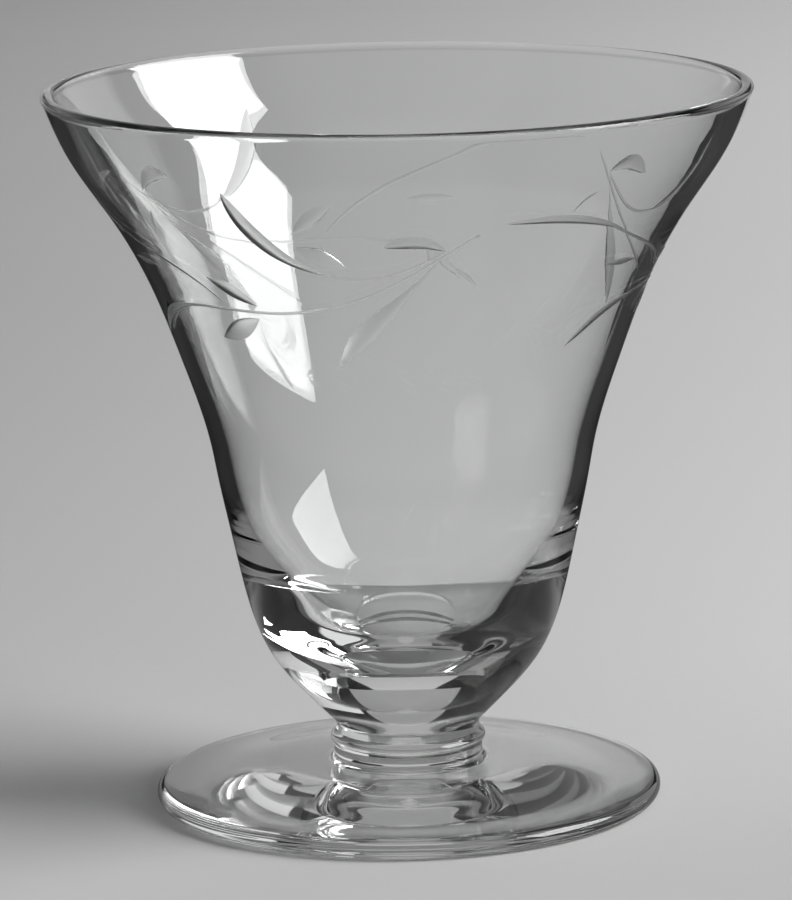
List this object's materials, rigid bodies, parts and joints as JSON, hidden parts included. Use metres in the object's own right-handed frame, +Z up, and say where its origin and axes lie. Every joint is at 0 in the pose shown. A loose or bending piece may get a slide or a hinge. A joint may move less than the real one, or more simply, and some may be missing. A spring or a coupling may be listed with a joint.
{
  "type": "oyster cocktail glass",
  "caption": "Clear footed glass: a flared trumpet bowl over a thick solid base, joined by a collar ring and a squat stem to a round foot; holds a seafood cocktail or a short drink.",
  "frame": {"origin": "centre of the plane that the foot's ring rests on", "axes": "+Z up along the axis that the glass is turned about; -Y towards the camera of the picture"},
  "size_m": [0.0838, 0.0838, 0.086],
  "materials": {
    "clear_glass": "clear, polished"
  },
  "bodies": {
    "root": {"foot": "clear_glass", "stem": "clear_glass", "collar": "clear_glass", "bowl": "clear_glass"}
  },
  "joints": []
}
